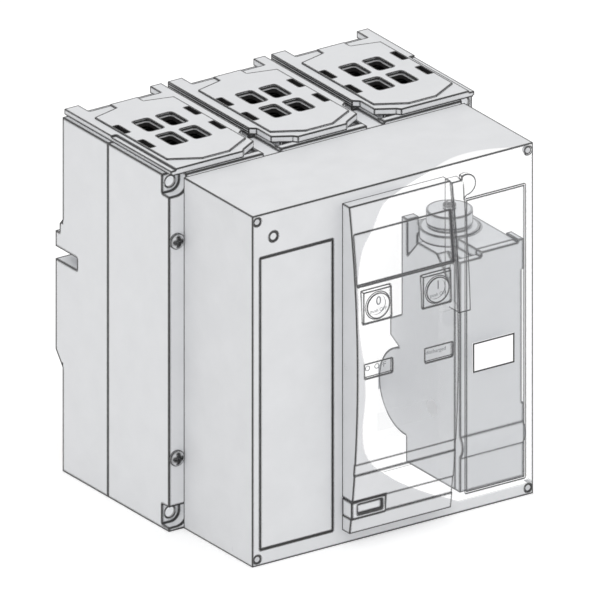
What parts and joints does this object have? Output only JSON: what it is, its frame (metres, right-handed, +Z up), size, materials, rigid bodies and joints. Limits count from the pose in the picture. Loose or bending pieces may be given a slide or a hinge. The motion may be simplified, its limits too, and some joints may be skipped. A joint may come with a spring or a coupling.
{
  "type": "moulded case switch disconnector",
  "caption": "Three-pole moulded-case switch disconnector with stored-energy drive, charging handle, geared charging motor and rear terminals.",
  "frame": {"origin": "centre of the rear mounting face", "axes": "+X right seen from the front, +Y towards the back, +Z up"},
  "size_m": [0.21, 0.1976, 0.2202],
  "materials": {
    "case": "light grey moulded thermoset, satin",
    "cap": "light grey moulded thermoset, satin",
    "cover": "light grey moulded polycarbonate blend, satin",
    "clear": "clear polycarbonate, smooth",
    "white": "white moulded plastic",
    "motor": "mid grey moulded nylon",
    "copper": "bright copper",
    "steel": "zinc plated steel",
    "dark_steel": "blackened steel",
    "brass": "turned brass",
    "button": "smooth moulded plastic"
  },
  "bodies": {
    "root": {"rear_case": "case", "middle_case": "case", "case_screws": "dark_steel", "arc_chute_1": "cap", "arc_chute_2": "cap", "arc_chute_3": "cap", "exhaust_plates": "cap", "splitter_plates_1": "steel", "splitter_plates_2": "steel", "splitter_plates_3": "steel", "upper_terminal_1": "copper", "upper_terminal_2": "copper", "upper_terminal_3": "copper", "lower_terminal_1": "copper", "lower_terminal_2": "copper", "lower_terminal_3": "copper", "shaft_bushes": "brass", "mechanism_plate": "white", "front_cover": "cover", "blanking_plate": "cover", "access_panel": "clear", "rating_plate": "white", "hole_plug": "cover", "cover_screws": "dark_steel", "flange_screws": "dark_steel", "fascia": "clear", "button_bezels": "clear", "indicator_lenses": "clear", "flag_axle": "steel", "handle_pin": "steel", "motor_housing": "motor", "motor_front_plate": "motor", "motor_can": "motor", "mechanism_frame": "steel", "closing_spring": "dark_steel", "mechanism_shroud": "white"},
    "off_button": {"off_button": "button"},
    "on_button": {"on_button": "button"},
    "position_flag": {"position_flag": "white"},
    "charge_flag": {"charge_flag": "white"},
    "padlock_drawer": {"padlock_drawer": "white"},
    "charging_handle": {"charging_handle": "cover"},
    "pole_shaft": {"pole_shaft": "steel"},
    "moving_contact_1": {"moving_contact_1": "copper"},
    "moving_contact_2": {"moving_contact_2": "copper"},
    "moving_contact_3": {"moving_contact_3": "copper"},
    "motor_rotor": {"motor_rotor": "steel"},
    "worm_wheel": {"worm_wheel": "brass"},
    "charging_shaft": {"charging_shaft": "steel"},
    "spring_plunger": {"spring_plunger": "steel"}
  },
  "joints": [
    {"name": "off_button_press", "type": "slide", "parent": "root", "child": "off_button", "axis": [0, 1, 0], "range_m": [0, 0.004], "stiffness_N_per_m": 300},
    {"name": "on_button_press", "type": "slide", "parent": "root", "child": "on_button", "axis": [0, 1, 0], "range_m": [0, 0.004], "stiffness_N_per_m": 300},
    {"name": "charging_handle_swing", "type": "hinge", "parent": "root", "child": "charging_handle", "pos_m": [0, -0.176, 0.017], "axis": [1, 0, 0], "range_deg": [0, 85], "stiffness_Nm_per_rad": 0.1},
    {"name": "padlock_drawer_pull", "type": "slide", "parent": "root", "child": "padlock_drawer", "axis": [0, -1, 0], "range_m": [0, 0.012]},
    {"name": "pole_shaft_turn", "type": "hinge", "parent": "root", "child": "pole_shaft", "pos_m": [0, -0.088, -0.018], "axis": [1, 0, 0], "range_deg": [0, 40]},
    {"name": "position_flag_turn", "type": "hinge", "parent": "root", "child": "position_flag", "pos_m": [0, -0.1849, 0.0016], "axis": [1, 0, 0], "range_deg": [0, 80]},
    {"name": "motor_rotor_spin", "type": "hinge", "parent": "root", "child": "motor_rotor", "pos_m": [0.0697, -0.1355, 0], "axis": [0, 0, 1], "continuous": true},
    {"name": "worm_wheel_spin", "type": "hinge", "parent": "root", "child": "worm_wheel", "pos_m": [0, -0.148, -0.056], "axis": [1, 0, 0], "continuous": true},
    {"name": "charging_shaft_turn", "type": "hinge", "parent": "root", "child": "charging_shaft", "pos_m": [0, -0.148, -0.056], "axis": [1, 0, 0], "range_deg": [0, 180], "deforming": ["closing_spring"]},
    {"name": "spring_plunger_slide", "type": "slide", "parent": "root", "child": "spring_plunger", "axis": [0, 0, 1], "range_m": [0, 0.012]},
    {"name": "charge_flag_turn", "type": "hinge", "parent": "root", "child": "charge_flag", "pos_m": [0, -0.1849, 0.0016], "axis": [1, 0, 0], "range_deg": [0, 80]},
    {"name": "moving_contact_1_swing", "type": "hinge", "parent": "root", "child": "moving_contact_1", "pos_m": [-0.07, -0.044, -0.052], "axis": [-1, 0, 0], "range_deg": [0, 21.6]},
    {"name": "moving_contact_2_swing", "type": "hinge", "parent": "root", "child": "moving_contact_2", "pos_m": [0, -0.044, -0.052], "axis": [-1, 0, 0], "range_deg": [0, 21.6]},
    {"name": "moving_contact_3_swing", "type": "hinge", "parent": "root", "child": "moving_contact_3", "pos_m": [0.07, -0.044, -0.052], "axis": [-1, 0, 0], "range_deg": [0, 21.6]}
  ],
  "couplings": [
    {"joint": "moving_contact_1_swing", "follows": "pole_shaft_turn", "ratio": 0.54},
    {"joint": "moving_contact_2_swing", "follows": "pole_shaft_turn", "ratio": 0.54},
    {"joint": "moving_contact_3_swing", "follows": "pole_shaft_turn", "ratio": 0.54},
    {"joint": "position_flag_turn", "follows": "pole_shaft_turn", "ratio": 2},
    {"joint": "worm_wheel_spin", "follows": "motor_rotor_spin", "ratio": 0.041667},
    {"joint": "spring_plunger_slide", "follows": "charging_shaft_turn", "m_per_rad": 0.0038197},
    {"joint": "charge_flag_turn", "follows": "charging_shaft_turn", "ratio": 0.44444}
  ]
}
